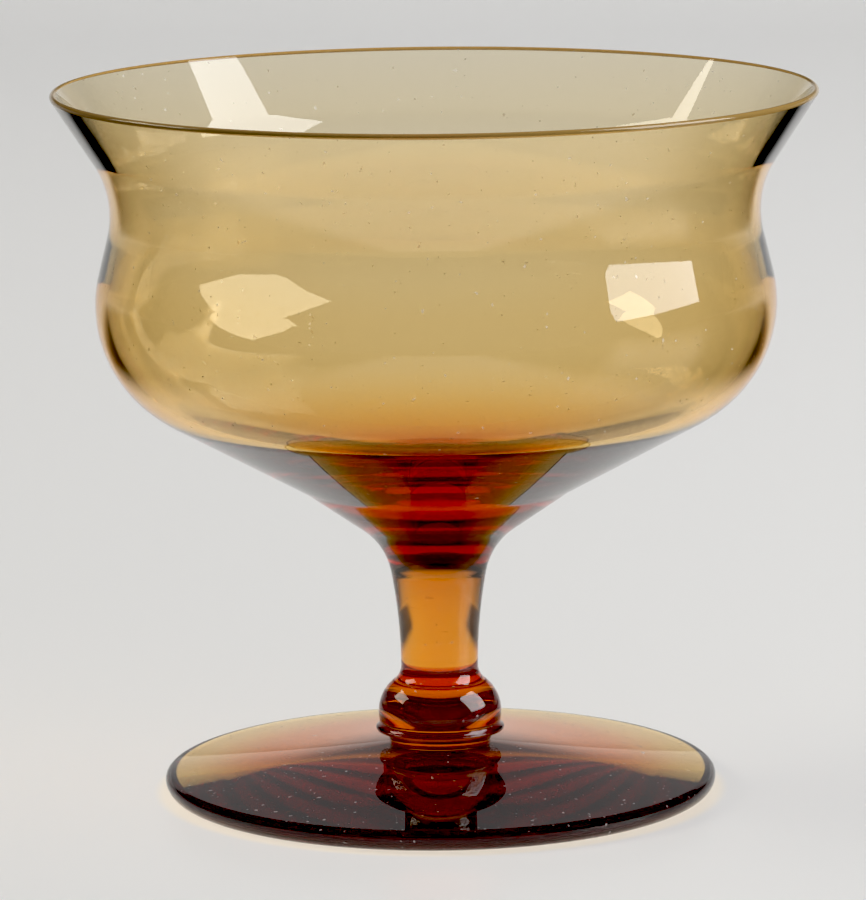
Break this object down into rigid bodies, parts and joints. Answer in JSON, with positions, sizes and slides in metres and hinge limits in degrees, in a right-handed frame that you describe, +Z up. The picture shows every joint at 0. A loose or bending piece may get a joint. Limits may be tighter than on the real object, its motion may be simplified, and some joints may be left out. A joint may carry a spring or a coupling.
{
  "type": "sherbet glass",
  "caption": "Low footed sherbet glass in clear amber glass: wide waisted bowl with a flared rim on a short stem with a ball knop and a round disc foot.",
  "frame": {"origin": "on the table, under the centre of the foot", "axes": "+Z up along the glass's axis of revolution, +X and +Y across it"},
  "size_m": [0.1, 0.1, 0.0934],
  "materials": {
    "amber_glass": "clear amber, fire-polished"
  },
  "bodies": {
    "root": {"foot": "amber_glass", "knop": "amber_glass", "stem": "amber_glass", "bowl": "amber_glass"}
  },
  "joints": []
}
